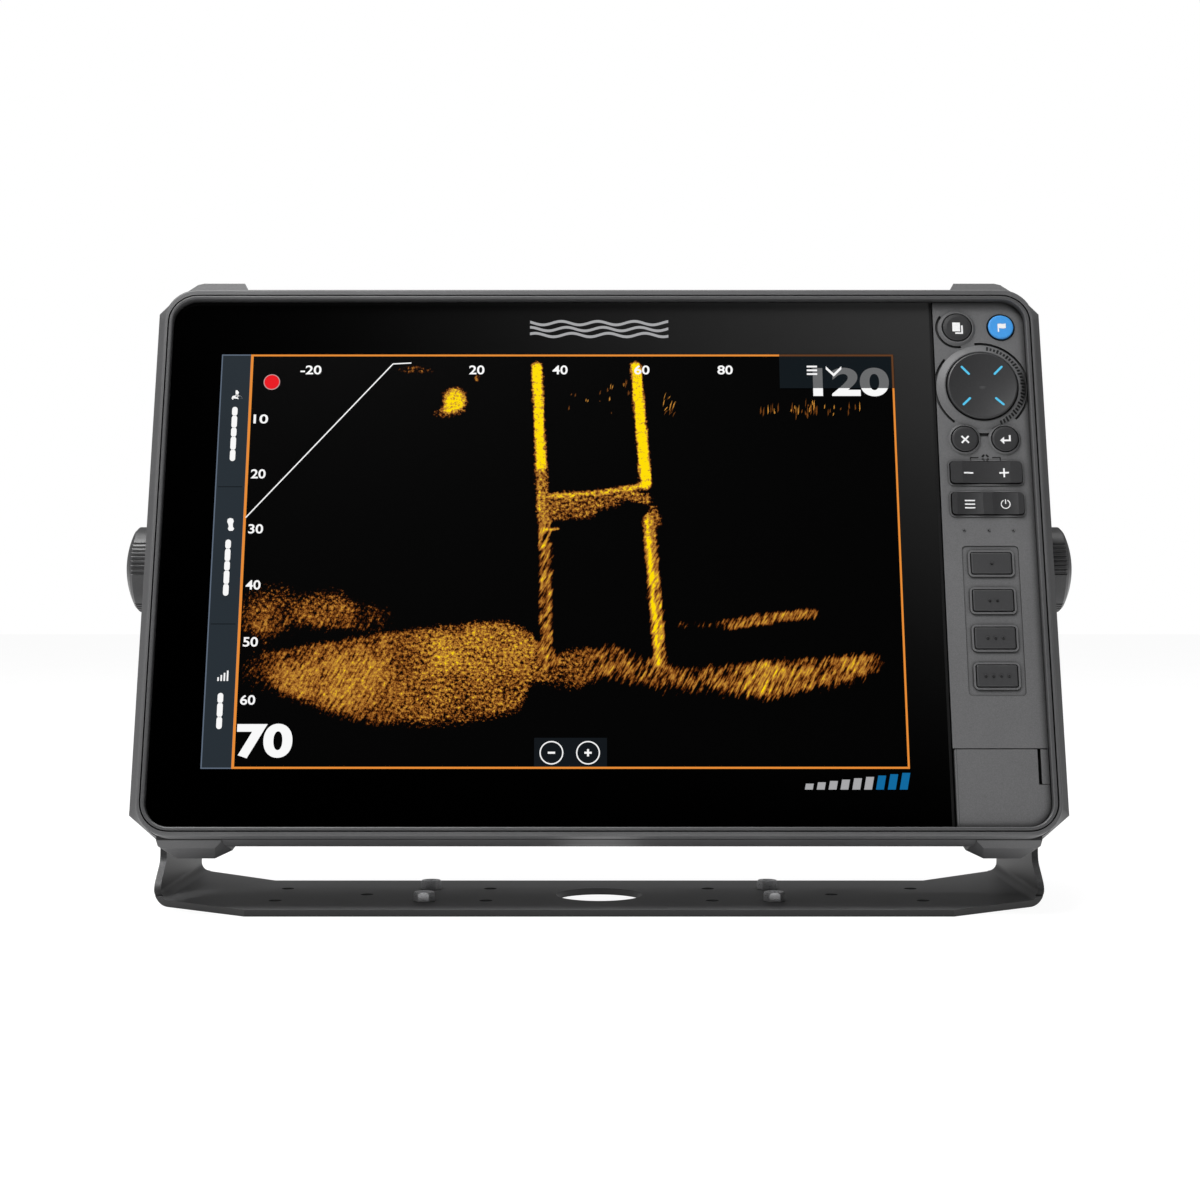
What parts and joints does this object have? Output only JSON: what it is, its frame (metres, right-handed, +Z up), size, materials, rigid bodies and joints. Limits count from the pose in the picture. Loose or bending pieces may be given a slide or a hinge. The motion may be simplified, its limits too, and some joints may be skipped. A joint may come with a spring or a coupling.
{
  "type": "chartplotter display",
  "caption": "Touchscreen boat navigation display with a side keypad, flared housing and a tilting bail bracket held by clamp knobs.",
  "frame": {"origin": "centre of the cable hole, on the underside of the bracket base", "axes": "+Z up, the screen faces -Y and leans back 15 degrees at rest, +X to the right as seen from the front"},
  "size_m": [0.374, 0.1167, 0.2423],
  "materials": {
    "powder_coat": "fine satin powder coat, dark grey",
    "plated_steel": "bright plated steel",
    "washer_nylon": "smooth black nylon",
    "cover_plastic": "fine moulded texture, dark grey",
    "frame_plastic": "satin moulded plastic, grey",
    "panel_plastic": "fine spark texture, mid grey",
    "cover_glass": "bonded glass, black border, clear over the picture",
    "lcd": "glass cell with polariser",
    "key_rubber": "soft-touch black",
    "blue_key": "satin blue",
    "knob_plastic": "satin black moulded plastic",
    "friction_rubber": "matt black rubber",
    "brass": "turned",
    "sink_aluminium": "black anodised casting",
    "tinplate": "pressed tinplate",
    "circuit_board": "green solder mask",
    "socket_plastic": "glass-filled black plastic",
    "insert_plastic": "moulded contact block",
    "adhesive": "soft grey pad",
    "ceramic": "ceramic patch",
    "ribbon_film": "polyimide film"
  },
  "bodies": {
    "bracket": {"bracket": "powder_coat", "bracket_nuts": "plated_steel"},
    "head": {"rear_cover": "cover_plastic", "heat_sink": "sink_aluminium", "front_frame": "frame_plastic", "bezel": "frame_plastic", "main_gasket": "friction_rubber", "touch_glass": "cover_glass", "glass_adhesive": "adhesive", "lcd_panel": "lcd", "backlight": "tinplate", "keypad_panel": "panel_plastic", "keypad_membrane": "friction_rubber", "keypad_board": "circuit_board", "key_domes": "tinplate", "main_board": "circuit_board", "processor_shield": "tinplate", "thermal_pad": "adhesive", "power_board": "circuit_board", "gps_antenna": "ceramic", "buzzer": "socket_plastic", "card_reader": "socket_plastic", "power_socket": "socket_plastic", "data_socket": "socket_plastic", "network_sockets": "socket_plastic", "sonar_sockets": "socket_plastic", "socket_inserts": "insert_plastic", "rear_cover_screws": "plated_steel", "heat_sink_screws": "plated_steel", "board_screws": "plated_steel", "display_ribbon": "ribbon_film", "keypad_ribbon": "ribbon_film", "pivot_insert_left": "brass", "pivot_insert_right": "brass", "pivot_pad_left": "friction_rubber", "pivot_pad_right": "friction_rubber", "latch_strip": "panel_plastic"},
    "card_door": {"card_door": "panel_plastic", "card_door_seal": "friction_rubber", "card_door_pin": "plated_steel"},
    "cursor_gimbal": {"cursor_gimbal": "socket_plastic"},
    "cursor_pad": {"cursor_pad": "key_rubber"},
    "pages_button": {"pages_button": "key_rubber"},
    "waypoint_button": {"waypoint_button": "blue_key"},
    "exit_button": {"exit_button": "key_rubber"},
    "enter_button": {"enter_button": "key_rubber"},
    "quick_key_1": {"quick_key_1": "key_rubber"},
    "quick_key_2": {"quick_key_2": "key_rubber"},
    "quick_key_3": {"quick_key_3": "key_rubber"},
    "quick_key_4": {"quick_key_4": "key_rubber"},
    "zoom_rocker": {"zoom_rocker": "key_rubber"},
    "menu_power_rocker": {"menu_power_rocker": "key_rubber"},
    "knob_left_slider": {"knob_washer_left": "washer_nylon"},
    "knob_left": {"knob_cap_left": "knob_plastic", "knob_stud_left": "plated_steel"},
    "knob_right_slider": {"knob_washer_right": "washer_nylon"},
    "knob_right": {"knob_cap_right": "knob_plastic", "knob_stud_right": "plated_steel"}
  },
  "joints": [
    {"name": "head_tilt", "type": "hinge", "parent": "bracket", "child": "head", "pos_m": [0, 0.0218, 0.12843], "axis": [-1, 0, 0], "range_deg": [-10, 30]},
    {"name": "pages_button_press", "type": "slide", "parent": "head", "child": "pages_button", "axis": [0, 0.9659, -0.2588], "range_m": [0, 0.0008], "stiffness_N_per_m": 1500, "springref_m": -0.0005},
    {"name": "waypoint_button_press", "type": "slide", "parent": "head", "child": "waypoint_button", "axis": [0, 0.9659, -0.2588], "range_m": [0, 0.0008], "stiffness_N_per_m": 1500, "springref_m": -0.0005},
    {"name": "exit_button_press", "type": "slide", "parent": "head", "child": "exit_button", "axis": [0, 0.9659, -0.2588], "range_m": [0, 0.0008], "stiffness_N_per_m": 1500, "springref_m": -0.0005},
    {"name": "enter_button_press", "type": "slide", "parent": "head", "child": "enter_button", "axis": [0, 0.9659, -0.2588], "range_m": [0, 0.0008], "stiffness_N_per_m": 1500, "springref_m": -0.0005},
    {"name": "quick_key_1_press", "type": "slide", "parent": "head", "child": "quick_key_1", "axis": [0, 0.9659, -0.2588], "range_m": [0, 0.0008], "stiffness_N_per_m": 1500, "springref_m": -0.0005},
    {"name": "quick_key_2_press", "type": "slide", "parent": "head", "child": "quick_key_2", "axis": [0, 0.9659, -0.2588], "range_m": [0, 0.0008], "stiffness_N_per_m": 1500, "springref_m": -0.0005},
    {"name": "quick_key_3_press", "type": "slide", "parent": "head", "child": "quick_key_3", "axis": [0, 0.9659, -0.2588], "range_m": [0, 0.0008], "stiffness_N_per_m": 1500, "springref_m": -0.0005},
    {"name": "quick_key_4_press", "type": "slide", "parent": "head", "child": "quick_key_4", "axis": [0, 0.9659, -0.2588], "range_m": [0, 0.0008], "stiffness_N_per_m": 1500, "springref_m": -0.0005},
    {"name": "zoom_rocker_rock", "type": "hinge", "parent": "head", "child": "zoom_rocker", "pos_m": [0.14805, -0.00619, 0.16461], "axis": [0, 0.2588, 0.9659], "range_deg": [-2.2, 2.2], "stiffness_Nm_per_rad": 0.6},
    {"name": "menu_power_rocker_rock", "type": "hinge", "parent": "head", "child": "menu_power_rocker", "pos_m": [0.14805, -0.00942, 0.15253], "axis": [0, 0.2588, 0.9659], "range_deg": [-2.2, 2.2], "stiffness_Nm_per_rad": 0.6},
    {"name": "cursor_rock_vertical", "type": "hinge", "parent": "head", "child": "cursor_gimbal", "pos_m": [0.14815, 0.00439, 0.1979], "axis": [1, 0, 0], "range_deg": [-2.5, 2.5], "stiffness_Nm_per_rad": 0.6},
    {"name": "cursor_rock_sideways", "type": "hinge", "parent": "cursor_gimbal", "child": "cursor_pad", "pos_m": [0.14815, 0.00381, 0.19806], "axis": [0, 0.2588, 0.9659], "range_deg": [-2.5, 2.5], "stiffness_Nm_per_rad": 0.6},
    {"name": "card_door_hinge", "type": "hinge", "parent": "head", "child": "card_door", "pos_m": [0.1319, -0.03783, 0.04689], "axis": [0, -0.2588, -0.9659], "range_deg": [0, 95]},
    {"name": "knob_left_travel", "type": "slide", "parent": "head", "child": "knob_left_slider", "axis": [-1, 0, 0], "range_m": [0, 0.0025]},
    {"name": "knob_left_turn", "type": "hinge", "parent": "knob_left_slider", "child": "knob_left", "pos_m": [-0.1715, 0.0218, 0.12843], "axis": [-1, 0, 0], "range_deg": [0, 720]},
    {"name": "knob_right_travel", "type": "slide", "parent": "head", "child": "knob_right_slider", "axis": [1, 0, 0], "range_m": [0, 0.0025]},
    {"name": "knob_right_turn", "type": "hinge", "parent": "knob_right_slider", "child": "knob_right", "pos_m": [0.1715, 0.0218, 0.12843], "axis": [1, 0, 0], "range_deg": [0, 720]}
  ],
  "couplings": [
    {"joint": "knob_left_turn", "follows": "knob_left_travel", "rad_per_m": 5026.5},
    {"joint": "knob_right_turn", "follows": "knob_right_travel", "rad_per_m": 5026.5}
  ]
}
